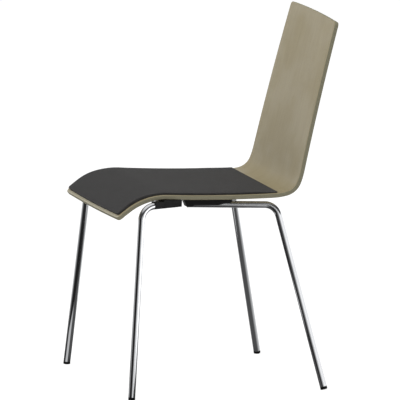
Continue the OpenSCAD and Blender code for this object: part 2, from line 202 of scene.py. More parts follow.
def merged_copy(node: str, name: str) -> bpy.types.Object:
    """Copy a node of the frame as a new piece with its triangles merged.

    Args:
        node: the node's name.
        name: the new piece's name.

    Returns:
        The new piece.
    """
    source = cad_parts[node]
    piece = bpy.data.objects.new(name, source.data.copy())
    bpy.context.scene.collection.objects.link(piece)
    piece.data.materials.clear()
    with editing(piece):
        bpy.ops.mesh.select_all(action="SELECT")
        bpy.ops.mesh.customdata_custom_splitnormals_clear()
        bpy.ops.mesh.remove_doubles(threshold=2e-6)
    return piece


def turned_towards(direction: Vector, hint: Vector) -> Matrix:
    """A turn that takes z to a direction and x towards a hint.

    Args:
        direction: where z goes.
        hint: where x goes as nearly as it can.

    Returns:
        The turn, as a 4 by 4 matrix.
    """
    z = direction.normalized()
    x = (hint - hint.dot(z) * z).normalized()
    return Matrix((x, z.cross(x), z)).transposed().to_4x4()


def dress(piece: bpy.types.Object, finish: bpy.types.Material, slot: str, node: str) -> None:
    """Give a piece its finish and its body, hide the node of the frame that it stands for, and log
    its slot.

    Args:
        piece: the finished mesh.
        finish: its material.
        slot: the name of its slot, which is only written to the log.
        node: the node of the frame that it replaces.
    """
    piece.data.materials.clear()
    piece.data.materials.append(finish)
    piece.data.name = piece.name
    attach(piece, BODY)
    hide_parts(node)
    LOG.info("%s: %d faces, %s", piece.name, len(piece.data.polygons), slot)


# Finishes

class Bench:
    """A small bench for wiring the shader nodes of a material, a group or the world."""

    def __init__(self, tree: bpy.types.NodeTree) -> None:
        """Keep the node tree that is wired."""
        self.tree = tree

    def add(self, kind: str, **settings: object) -> bpy.types.Node:
        """Add a node.

        Args:
            kind: the node's type.
            settings: its properties by name.

        Returns:
            The node.
        """
        node = self.tree.nodes.new(kind)
        for name, value in settings.items():
            setattr(node, name, value)
        return node

    def join(self, source: object, node: bpy.types.Node, socket: int | str) -> None:
        """Feed a socket with another socket or with a plain value.

        Args:
            source: an output socket, a number, a tuple, or None to leave the socket alone.
            node: the node that is fed.
            socket: the input's name or place.
        """
        if isinstance(source, bpy.types.NodeSocket):
            self.tree.links.new(source, node.inputs[socket])
        elif isinstance(source, tuple) and node.inputs[socket].type == "RGBA":
            node.inputs[socket].default_value = (*source, 1.0)
        elif source is not None:
            node.inputs[socket].default_value = source

    def feed(self, node: bpy.types.Node, **inputs: object) -> None:
        """Feed a node's inputs by name, with _ for a space."""
        for name, value in inputs.items():
            self.join(value, node, name.replace("_", " "))

    def fed(self, kind: str, *values: object, **settings: object) -> bpy.types.NodeSocket:
        """Add a node with its first inputs fed.

        Args:
            kind: the node's type.
            values: what feeds its inputs, in their order.
            settings: its properties by name.

        Returns:
            Its first output.
        """
        node = self.add(kind, **settings)
        for place, value in enumerate(values):
            self.join(value, node, place)
        return node.outputs[0]

    def solid(self) -> bpy.types.NodeSocket:
        """The piece's own coordinates, in metres."""
        return self.add("ShaderNodeTexCoord").outputs["Object"]

    def sheet(self) -> bpy.types.NodeSocket:
        """The flat blank's coordinates, in metres."""
        return self.add("ShaderNodeUVMap", uv_map="sheet").outputs["UV"]

    def maths(self, work: str, *values: object, clamp: bool = False) -> bpy.types.NodeSocket:
        """The result of a Math node, kept from 0 to 1 if clamped."""
        return self.fed("ShaderNodeMath", *values, operation=work, use_clamp=clamp)

    def weighted(self, *parts: tuple[object, float]) -> bpy.types.NodeSocket:
        """Add values up by weight.

        Args:
            parts: each value and its weight.

        Returns:
            The sum.
        """
        total = 0.0
        for value, weight in parts:
            total = self.maths("MULTIPLY_ADD", value, weight, total)
        return total

    def scaled(self, vector: object, scale: Triple) -> bpy.types.NodeSocket:
        """A pattern's coordinates, scaled across, along and through."""
        return self.fed("ShaderNodeMapping", vector, None, None, scale)

    def noise(self, vector: object, size: float, detail: float = 2.0,
              rough: float = 0.5) -> bpy.types.NodeSocket:
        """A noise value, about 0 to 1, with a number of octaves and a weight of the finer ones."""
        return self.fed("ShaderNodeTexNoise", vector, None, size, detail, rough)

    def ramp(self, value: object, low: float, high: float, start: float = 0.0,
             end: float = 1.0) -> bpy.types.NodeSocket:
        """Map the values from low to high smoothly onto those from start to end."""
        return self.fed("ShaderNodeMapRange", value, low, high, start, end,
                        interpolation_type="SMOOTHSTEP")

    def levels(self, value: object, stops: Sequence[Pair]) -> bpy.types.NodeSocket:
        """Look a value up along a line of stops.

        Args:
            value: what is looked up, 0 to 1.
            stops: place and level of each stop, in order.

        Returns:
            The level.
        """
        node = self.add("ShaderNodeValToRGB")
        self.join(value, node, 0)
        line = node.color_ramp.elements
        while len(line) < len(stops):
            line.new(1.0)
        for stop, (place, level) in zip(line, stops):
            stop.position = place
            stop.color = (level, level, level, 1.0)
        return node.outputs["Color"]

    def mix(self, factor: object, first: object, second: object) -> bpy.types.NodeSocket:
        """Mix two colours.

        Args:
            factor: share of the second colour.
            first: first colour or socket.
            second: second colour or socket.

        Returns:
            The mixed colour.
        """
        node = self.add("ShaderNodeMix", data_type="RGBA")
        for socket, value in ((0, factor), (6, first), (7, second)):
            self.join(value, node, socket)
        return node.outputs[2]

    def blend(self, factor: object, first: object, second: object) -> bpy.types.NodeSocket:
        """Mix two plain values, by the share of the second."""
        return self.fed("ShaderNodeMix", factor, None, first, second, data_type="FLOAT")

    def axes(self, vector: object) -> bpy.types.NodeOutputs:
        """Take a vector apart.

        Args:
            vector: the vector.

        Returns:
            Its X, Y and Z outputs.
        """
        node = self.add("ShaderNodeSeparateXYZ")
        self.join(vector, node, 0)
        return node.outputs

    def away(self, place: object, origin: Pair = (0.0, 0.0)) -> bpy.types.NodeSocket:
        """Distance of a place on the floor from an origin.

        Args:
            place: the place.
            origin: the x and y of the origin.

        Returns:
            The distance.
        """
        node = self.add("ShaderNodeVectorMath", operation="DISTANCE")
        self.join(place, node, 0)
        self.join((*origin, 0.0), node, 1)
        return node.outputs["Value"]

    def bump(self, height: object, depth: float, strength: float,
             under: object = None) -> bpy.types.NodeSocket:
        """The normal of a bump of a depth in metres, perhaps laid on another bump."""
        return self.fed("ShaderNodeBump", strength, depth, None, height, under)

    def effect(self, tree: bpy.types.NodeTree, **inputs: object) -> bpy.types.NodeOutputs:
        """Place a shared effect.

        Args:
            tree: its node group.
            inputs: its inputs by name, with _ for a space.

        Returns:
            Its outputs.
        """
        node = self.add("ShaderNodeGroup", node_tree=tree)
        self.feed(node, **inputs)
        return node.outputs


def new_group(name: str, inputs: dict[str, float | None], outputs: Sequence[str]
              ) -> tuple[bpy.types.NodeTree, Bench, bpy.types.NodeOutputs, bpy.types.Node]:
    """Start a shader node group with named sockets.

    Args:
        name: the group's name.
        inputs: each input's name and default, with None for a vector.
        outputs: the names of its values.

    Returns:
        The group, a bench for it, its inputs and its output node.
    """
    tree = bpy.data.node_groups.new(name, "ShaderNodeTree")
    for label, value in inputs.items():
        kind = "NodeSocketVector" if value is None else "NodeSocketFloat"
        socket = tree.interface.new_socket(name=label, in_out="INPUT", socket_type=kind)
        if value is not None:
            socket.default_value = value
    for label in outputs:
        tree.interface.new_socket(name=label, in_out="OUTPUT", socket_type="NodeSocketFloat")
    bench = Bench(tree)
    return tree, bench, bench.add("NodeGroupInput").outputs, bench.add("NodeGroupOutput")


@dataclass(frozen=True)
class SharedEffects:
    """The effects that several finishes share, each built once as a node group."""

    grain: bpy.types.NodeTree
    handling: bpy.types.NodeTree
    weave: bpy.types.NodeTree

    @staticmethod
    def build() -> "SharedEffects":
        """Build the shared node groups."""
        return SharedEffects(straight_grain(), handling_marks(), plain_weave())


def straight_grain() -> bpy.types.NodeTree:
    """Straight fine veneer grain along the sheet's second axis.

    Returns:
        The group.
    """
    tree, bench, start, end = new_group("straight_grain", {"Vector": None, "Stretch": 40.0},
                                        ("Tone", "Pores", "Height"))
    sheet = bench.axes(start["Vector"])
    drift = bench.noise(bench.scaled(start["Vector"], (3.0, 1.2, 1.0)), 1.0)
    across = bench.maths("MULTIPLY_ADD", bench.maths("SUBTRACT", drift, 0.5), 0.012, sheet["X"])
    along = bench.maths("DIVIDE", sheet["Y"], start["Stretch"])
    flow = bench.fed("ShaderNodeCombineXYZ", across, along, sheet["Z"])
    fibres = bench.noise(flow, 620.0, 3.0, 0.65)
    bands = bench.noise(flow, 85.0)
    wide = bench.noise(flow, 17.0, 1.0)
    dashes = bench.noise(bench.scaled(start["Vector"], (1900.0, 60.0, 60.0)), 1.0, 1.0)
    pores = bench.ramp(dashes, 0.66, 0.78)
    bench.feed(end, Tone=bench.weighted((fibres, 0.76), (bands, 0.18), (wide, 0.06)),
               Pores=pores, Height=bench.weighted((fibres, 1.0), (pores, -0.8)))
    return tree


def handling_marks() -> bpy.types.NodeTree:
    """Cloudy marks of handling and wiping, for roughness.

    Returns:
        The group.
    """
    tree, bench, start, end = new_group(
        "handling_marks", {"Vector": None, "Size": 14.0, "Clean": 0.3, "Handled": 0.45},
        ("Roughness", "Specks"))
    cloud = bench.noise(start["Vector"], start["Size"], 4.0, 0.55)
    fine = bench.noise(start["Vector"], bench.maths("MULTIPLY", start["Size"], 24.0))
    mark = bench.maths("MULTIPLY_ADD", bench.maths("SUBTRACT", fine, 0.5), 0.35,
                       bench.ramp(cloud, 0.38, 0.68), clamp=True)
    bench.feed(end, Roughness=bench.blend(mark, start["Clean"], start["Handled"]),
               Specks=bench.ramp(fine, 0.68, 0.8))
    return tree


def plain_weave() -> bpy.types.NodeTree:
    """Plain weave of two thread directions on the sheet's coordinates.

    Returns:
        The group.
    """
    tree, bench, start, end = new_group(
        "plain_weave", {"Vector": None, "Threads per metre": 900.0}, ("Height",))
    sheet = bench.axes(start["Vector"])
    wobble = bench.noise(start["Vector"], 210.0)
    shift = bench.maths("MULTIPLY", bench.maths("SUBTRACT", wobble, 0.5), 1.1)
    turn = bench.maths("MULTIPLY", start["Threads per metre"], math.pi)
    warp, weft = (bench.maths("SINE", bench.maths("MULTIPLY_ADD", sheet[axis], turn, shift))
                  for axis in ("X", "Y"))
    on_top = bench.maths("GREATER_THAN", bench.maths("MULTIPLY", warp, weft), 0.0)
    bench.feed(end, Height=bench.blend(on_top, bench.maths("ABSOLUTE", warp),
                                       bench.maths("ABSOLUTE", weft)))
    return tree


@dataclass(frozen=True)
class Finish(ABC):
    """A finish of the chair: the numbers and the wiring of one material."""

    name: str
    colour: Colour

    def material(self, effects: SharedEffects) -> bpy.types.Material:
        """Build the material.

        Args:
            effects: the shared effects.

        Returns:
            The material.
        """
        material = bpy.data.materials.new(self.name)
        material.use_nodes = True
        material.diffuse_color = (*self.colour, 1.0)
        shader = material.node_tree.nodes["Principled BSDF"]
        shader.inputs["Base Color"].default_value = (*self.colour, 1.0)
        bench = Bench(material.node_tree)
        bench.feed(shader, **self.inputs(bench, effects))
        return material

    @abstractmethod
    def inputs(self, bench: Bench, effects: SharedEffects) -> dict[str, object]:
        """Wire what feeds the shader.

        Args:
            bench: the material's bench.
            effects: the shared effects.

        Returns:
            Sockets and values by the shader's input, with _ for a space.
        """


@dataclass(frozen=True)
class VeneerFinish(Finish):
    """Stained and lacquered veneer faces, plies on the edges, and a painted highlight at the
    front.
    """

    name: str = "stained_veneer"
    colour: Colour = (0.320, 0.272, 0.166)
    dark: Colour = (0.284, 0.241, 0.147)
    pore: Colour = (0.165, 0.138, 0.083)
    ply_light: Colour = (0.305, 0.284, 0.195)
    ply_dark: Colour = (0.200, 0.186, 0.128)
    # painted highlight: a paler colour on the face near the front edge stands in for the lamps'
    # sheen there, and fades out over the run below
    painted_front_highlight: Colour = (0.415, 0.380, 0.282)
    painted_highlight_run: Pair = (7.0 * MM, 11.0 * MM)
    stretch: float = 42.0
    tone_run: Pair = (0.36, 0.64)
    pore_share: float = 0.55
    plies: float = 7.0
    ply_wave: float = 0.10
    ply_run: Pair = (-0.45, 0.45)
    ply_fleck: float = 0.7
    face_skin: float = 0.055
    skin_fade: float = 0.02
    mark_size: float = 9.0
    clean: float = 0.36
    handled: float = 0.50
    edge_dulling: float = 0.16
    relief: Pair = (0.06 * MM, 0.5)
    specular: float = 0.25

    def inputs(self, bench: Bench, effects: SharedEffects) -> dict[str, object]:
        """Wire grain on the faces, a painted highlight along the front edge, plies on the edges
        and marks of handling.

        Args:
            bench: the material's bench.
            effects: the shared effects.

        Returns:
            What feeds the shader.
        """
        sheet, solid = bench.sheet(), bench.solid()
        depth = bench.add("ShaderNodeAttribute", attribute_name="ply_depth").outputs["Fac"]
        grain = bench.effect(effects.grain, Vector=sheet, Stretch=self.stretch)
        face = bench.mix(bench.ramp(grain["Tone"], *self.tone_run), self.dark, self.colour)
        face = bench.mix(bench.maths("MULTIPLY", grain["Pores"], self.pore_share), face, self.pore)
        # painted highlight: near the front edge the face turns paler, in place of the sheen that
        # the lamps give this margin
        rim = bench.ramp(bench.axes(sheet)["Y"], *self.painted_highlight_run, 1.0, 0.0)
        face = bench.mix(rim, face, self.painted_front_highlight)
        ripple = bench.noise(solid, 260.0, 3.0, 0.6)
        layer = bench.weighted((depth, self.plies), (ripple, self.ply_wave))
        wave = bench.maths("SINE", bench.maths("MULTIPLY", layer, math.pi))
        tone = bench.maths("MULTIPLY_ADD", bench.maths("SUBTRACT", ripple, 0.5), self.ply_fleck,
                           bench.ramp(wave, *self.ply_run), clamp=True)
        edge = bench.mix(tone, self.ply_dark, self.ply_light)
        first, last = self.face_skin, 1.0 - self.face_skin
        inner = bench.maths("MULTIPLY", bench.ramp(depth, first, first + self.skin_fade),
                            bench.ramp(depth, last - self.skin_fade, last, 1.0, 0.0))
        marks = bench.effect(effects.handling, Vector=solid, Size=self.mark_size,
                             Clean=self.clean, Handled=self.handled)
        height = bench.blend(inner, grain["Height"], tone)
        return {"Base_Color": bench.mix(inner, face, edge),
                "Roughness": bench.maths("MULTIPLY_ADD", inner, self.edge_dulling,
                                         marks["Roughness"]),
                "Normal": bench.bump(height, *self.relief),
                "Specular_IOR_Level": self.specular}


@dataclass(frozen=True)
class WovenFinish(Finish):
    """Dull charcoal woven cloth with a little melange."""

    name: str = "charcoal_cloth"
    colour: Colour = (0.055, 0.0535, 0.053)
    dark: Colour = (0.028, 0.0275, 0.0275)
    threads_per_metre: float = 820.0
    weave_share: float = 0.42
    fleck_share: float = 0.52
    cloud_share: float = 0.16
    tone_run: Pair = (0.25, 0.95)
    roughness: Pair = (0.86, 0.98)
    weave_relief: Pair = (0.16 * MM, 0.7)
    fleck_relief: Pair = (0.08 * MM, 0.5)
    sheen: float = 0.05
    sheen_roughness: float = 0.5
    specular: float = 0.2

    def inputs(self, bench: Bench, effects: SharedEffects) -> dict[str, object]:
        """Wire weave, flecks and clouds.

        Args:
            bench: the material's bench.
            effects: the shared effects.

        Returns:
            What feeds the shader.
        """
        sheet = bench.sheet()
        weave = bench.effect(effects.weave, Vector=sheet,
                             Threads_per_metre=self.threads_per_metre)["Height"]
        fleck = bench.noise(sheet, 1500.0, 2.0, 0.7)
        cloud = bench.noise(sheet, 26.0, 3.0, 0.6)
        tone = bench.weighted((weave, self.weave_share), (fleck, self.fleck_share),
                              (cloud, self.cloud_share))
        woven = bench.bump(weave, *self.weave_relief)
        return {"Base_Color": bench.mix(bench.ramp(tone, *self.tone_run), self.dark, self.colour),
                "Roughness": bench.ramp(fleck, 0.3, 0.7, *self.roughness),
                "Normal": bench.bump(fleck, *self.fleck_relief, woven),
                "Sheen_Weight": self.sheen,
                "Sheen_Roughness": self.sheen_roughness,
                "Specular_IOR_Level": self.specular}


@dataclass(frozen=True)
class FoamFinish(Finish):
    """Cut foam, porous and matt."""

    name: str = "cut_foam"
    colour: Colour = (0.33, 0.33, 0.30)
    cells_per_metre: float = 900.0
    deep_share: float = 0.7
    relief: Pair = (0.2 * MM, 0.6)
    roughness: float = 0.95

    def inputs(self, bench: Bench, effects: SharedEffects) -> dict[str, object]:
        """Wire the cut cells.

        Args:
            bench: the material's bench.
            effects: the shared effects.

        Returns:
            What feeds the shader.
        """
        cells = bench.fed("ShaderNodeTexVoronoi", bench.solid(), None, self.cells_per_metre)
        shade = bench.ramp(cells, 0.0, 0.6)
        deep = tuple(self.deep_share * part for part in self.colour)
        return {"Base_Color": bench.mix(shade, deep, self.colour),
                "Roughness": self.roughness,
                "Normal": bench.bump(shade, *self.relief)}


@dataclass(frozen=True)
class HardFinish(Finish):
    """A hard skin with marks of handling: plated metal or moulded plastic."""

    worn: Colour
    clean: float
    handled: float
    mark_size: float
    speck_share: float
    metallic: float = 0.0
    specular: float = 0.5
    skin_scale: Triple = (0.0, 0.0, 0.0)
    skin_roughness: float = 0.5
    relief: Pair = (0.0, 0.0)

    def inputs(self, bench: Bench, effects: SharedEffects) -> dict[str, object]:
        """Wire marks, specks and the skin's relief.

        Args:
            bench: the material's bench.
            effects: the shared effects.

        Returns:
            What feeds the shader.
        """
        solid = bench.solid()
        marks = bench.effect(effects.handling, Vector=solid, Size=self.mark_size,
                             Clean=self.clean, Handled=self.handled)
        specks = bench.maths("MULTIPLY", marks["Specks"], self.speck_share)
        wiring = {"Base_Color": bench.mix(specks, self.colour, self.worn),
                  "Roughness": marks["Roughness"],
                  "Metallic": self.metallic,
                  "Specular_IOR_Level": self.specular}
        if any(self.relief):
            skin = bench.noise(bench.scaled(solid, self.skin_scale), 1.0, 2.0, self.skin_roughness)
            wiring["Normal"] = bench.bump(skin, *self.relief)
        return wiring


CHROME = HardFinish("bright_chrome", colour=(0.80, 0.81, 0.83), worn=(0.62, 0.62, 0.63),
                    clean=0.05, handled=0.10, mark_size=22.0, speck_share=0.35, metallic=1.0)
ZINC = HardFinish("zinc_plate", colour=(0.52, 0.52, 0.51), worn=(0.40, 0.39, 0.37),
                  clean=0.32, handled=0.48, mark_size=22.0, speck_share=0.35, metallic=1.0,
                  skin_scale=(60.0, 2500.0, 2500.0), relief=(0.03 * MM, 0.6))
PLASTIC = HardFinish("black_moulded_plastic", colour=(0.006, 0.006, 0.0062),
                     worn=(0.016, 0.016, 0.0165), clean=0.40, handled=0.60, mark_size=30.0,
                     speck_share=0.5, specular=0.2, skin_scale=(2600.0, 2600.0, 2600.0),
                     skin_roughness=0.6, relief=(0.04 * MM, 0.5))


@dataclass(frozen=True)
class Finishes:
    """All the chair's materials."""

    veneer: bpy.types.Material
    cloth: bpy.types.Material
    foam: bpy.types.Material
    chrome: bpy.types.Material
    plastic: bpy.types.Material
    zinc: bpy.types.Material

    @staticmethod
    def build() -> "Finishes":
        """Build every finish once.

        Returns:
            The finishes.
        """
        effects = SharedEffects.build()
        return Finishes(*(finish.material(effects) for finish in (
            VeneerFinish(), WovenFinish(), FoamFinish(), CHROME, PLASTIC, ZINC)))


# The shell and its profile

@dataclass(frozen=True)
class Stretch:
    """One stretch of the shell's profile."""

    length: float
    turn: float
    steps: int

    @staticmethod
    def arc(radius: float, turn: float, steps: int) -> "Stretch":
        """A stretch of a radius in metres and a turn in degrees, upward positive."""
        return Stretch(radius * math.radians(abs(turn)), turn, steps)


@dataclass(frozen=True)
class ShellProfile:
    """The path of the shell's upper face from the front edge to the top edge, and its widths."""

    thickness: float = 10.0 * MM
    front_width: float = 402.0 * MM
    top_width: float = 331.0 * MM
    front_edge: float = -275.10 * MM
    front_height: float = 415.5 * MM
    lip_rise: float = 40.0
    arris: float = 2.5 * MM
    seat_stretches: int = 4
    reach: float = 20.0 * MM
    marks: int = 1400
    stretches: tuple[Stretch, ...] = (
        Stretch.arc(300.0 * MM, -7.5, 2),
        Stretch.arc(155.0 * MM, -37.0, 18),
        Stretch(258.0 * MM, 4.2, 10),
        Stretch.arc(150.0 * MM, 12.0, 6),
        Stretch.arc(37.0 * MM, 55.0, 26),
        Stretch.arc(150.0 * MM, 10.0, 5),
        Stretch(355.0 * MM, -2.6, 12))

    @property
    def length(self) -> float:
        """Developed length of the shell."""
        return sum(part.length for part in self.stretches)

    def place(self, s: float) -> Triple:
        """Place on the path at a developed length.

        Args:
            s: developed length from the front edge, in metres.

        Returns:
            The y and z of the upper face, and its slope in radians.
        """
        y, z, slope = self.front_edge, self.front_height, math.radians(self.lip_rise)
        for part in self.stretches:
            run = min(s, part.length) if part is not self.stretches[-1] else s
            turn = math.radians(part.turn) * run / part.length
            chord = run if abs(turn) < 1e-6 else run * math.sin(turn / 2) / (turn / 2)
            y += chord * math.cos(slope + turn / 2)
            z += chord * math.sin(slope + turn / 2)
            slope += turn
            s -= run
            if s <= 0.0:
                break
        return y, z, slope

    def half_width(self, s: float) -> float:
        """Half of the shell's width at a developed length, in metres."""
        share = s / self.length
        return (self.front_width + (self.top_width - self.front_width) * share) / 2

    def over(self, x: float, s: float, height: float) -> Vector:
        """A point over the upper face, at a height along its normal."""
        y, z, slope = self.place(s)
        return Vector((x, y - height * math.sin(slope), z + height * math.cos(slope)))

    def under_height(self, y: float) -> float:
        """Height of the lower face of the seat over a place.

        Args:
            y: the place along the chair.

        Returns:
            The height of the lower face there.
        """
        low, high = 0.0, sum(part.length for part in self.stretches[:self.seat_stretches])
        for _ in range(40):
            middle = (low + high) / 2
            if self.over(0.0, middle, -self.thickness).y < y:
                low = middle
            else:
                high = middle
        return self.over(0.0, low, -self.thickness).z

    def developed(self, points: np.ndarray) -> tuple[np.ndarray, np.ndarray]:
        """Unwrap points near the shell onto its flat blank.

        Args:
            points: an array of places.

        Returns:
            The developed length of each, and its depth under the upper face.
        """
        beyond = 4.0 * MM
        marks = np.linspace(-beyond, self.length + beyond, self.marks)
        path = np.array([self.place(s) for s in marks])
        normal = np.stack([-np.sin(path[:, 2]), np.cos(path[:, 2])], 1)
        tangent = np.stack([np.cos(path[:, 2]), np.sin(path[:, 2])], 1)
        length = np.empty(len(points))
        depth = np.empty(len(points))
        for k, point in enumerate(points):
            away = point[1:3] - path[:, :2]
            along = (away * tangent).sum(1)
            height = (away * normal).sum(1)
            best = int(np.where(np.abs(height) > self.reach, np.inf, np.abs(along)).argmin())
            length[k] = marks[best] + along[best]
            depth[k] = -height[best]
        return length, depth


def lay_sheet_map(piece: bpy.types.Object, profile: ShellProfile, ply: bool) -> None:
    """Give a piece the flat blank's coordinates, and the depth through the plies.

    Args:
        piece: the piece.
        profile: the shell's profile.
        ply: whether the depth is written as well.
    """
    mesh = piece.data
    points = np.array([corner.co for corner in mesh.vertices])
    length, depth = profile.developed(points)
    layer = mesh.uv_layers.new(name="sheet")
    corners = np.array([loop.vertex_index for loop in mesh.loops])
    layer.data.foreach_set("uv", np.stack([points[corners, 0], length[corners]], 1).ravel())
    if ply:
        share = mesh.attributes.new("ply_depth", "FLOAT", "POINT")
        share.data.foreach_set("value", np.clip(depth / profile.thickness, 0.0, 1.0))


@dataclass
class Shell:
    """The one-piece seat and back: a flat blank wrapped along the profile."""

    profile: ShellProfile
    finishes: Finishes
    columns: int = 24
    front_corner: float = 12.0 * MM
    top_corner: float = 8.0 * MM
    front_bow: float = 2.5 * MM
    top_bow: float = 3.5 * MM
    corner_steps: int = 8
    arris_steps: int = 4

    def rows(self) -> list[float]:
        """Developed lengths of the rows of the blank.

        Returns:
            The lengths, from the front edge to the top edge.
        """
        marks = [0.0]
        for part in self.profile.stretches:
            first = marks[-1]
            marks += [first + part.length * k / part.steps for k in range(1, part.steps + 1)]
        return marks

    def blank(self) -> bpy.types.Object:
        """Wrap the blank row by row from its front edge.

        Returns:
            The upper face of the shell.
        """
        clear_selection()
        bpy.ops.mesh.primitive_grid_add(x_subdivisions=self.columns, y_subdivisions=1, size=1.0)
        piece = bpy.context.active_object
        piece.name = "bent_ply_shell"
        rows = self.rows()
        with editing(piece):
            for side, s in ((-1.0, rows[0]), (1.0, rows[1])):
                choose(piece, lambda co: side * co.y > 0.1 and abs(co.z) < SAME_PLACE)
                bpy.ops.transform.resize(value=(2.0 * self.profile.half_width(s), 1.0, 1.0))
                y, z, _ = self.profile.place(s)
                bpy.ops.transform.translate(value=(0.0, y - side * 0.5, z))
            spot = self.profile.over(0.0, rows[1], 0.0)
            choose(piece, lambda co: (Vector((0.0, co.y, co.z)) - spot).length < SAME_PLACE)
            for s, ahead in zip(rows[1:], rows[2:]):
                extrude_by(self.profile.over(0.0, ahead, 0.0) - self.profile.over(0.0, s, 0.0))
                taper = self.profile.half_width(ahead) / self.profile.half_width(s)
                bpy.ops.transform.resize(value=(taper, 1.0, 1.0), center_override=(0.0, 0.0, 0.0))
        return piece

    def bow_edges(self, piece: bpy.types.Object) -> None:
        """Bow the front and top edges outwards by drawing their sides in.

        Args:
            piece: the wrapped blank.
        """
        ends = ((0.0, self.front_bow, 1.0), (self.profile.length, self.top_bow, -1.0))
        with editing(piece):
            for s, bow, inward in ends:
                y, z, slope = self.profile.place(s)
                half = self.profile.half_width(s)
                along = Vector((0.0, math.cos(slope), math.sin(slope))) * inward
                for k in range(1, self.columns // 2 + 1):
                    x = half * 2 * k / self.columns
                    choose(piece, lambda co: abs(abs(co.x) - x) < SAME_COLUMN
                           and max(abs(co.y - y), abs(co.z - z)) < SAME_PLACE)
                    bpy.ops.transform.translate(value=tuple(along * bow * (x / half) ** 2))

    def round_corners(self, piece: bpy.types.Object) -> None:
        """Round the blank's four corners.

        Args:
            piece: the wrapped blank.
        """
        with editing(piece):
            for s, radius in ((0.0, self.front_corner), (self.profile.length, self.top_corner)):
                _, z, _ = self.profile.place(s)
                half = self.profile.half_width(s)
                choose(piece, lambda co: abs(abs(co.x) - half) < SAME_COLUMN
                       and abs(co.z - z) < self.profile.thickness)
                bpy.ops.mesh.bevel(offset=radius, segments=self.corner_steps, affect="VERTICES",
                                   clamp_overlap=False)

    def build(self) -> None:
        """Make the shell."""
        piece = self.blank()
        self.bow_edges(piece)
        self.round_corners(piece)
        modify(piece, "SOLIDIFY", thickness=self.profile.thickness, offset=-1.0,
               use_even_offset=True)
        soften_edges(piece, self.profile.arris, 55.0, self.arris_steps, clamped=False)
        lay_sheet_map(piece, self.profile, True)
        smooth(piece, 50.0)
        dress(piece, self.finishes.veneer, "veneer", "shell")


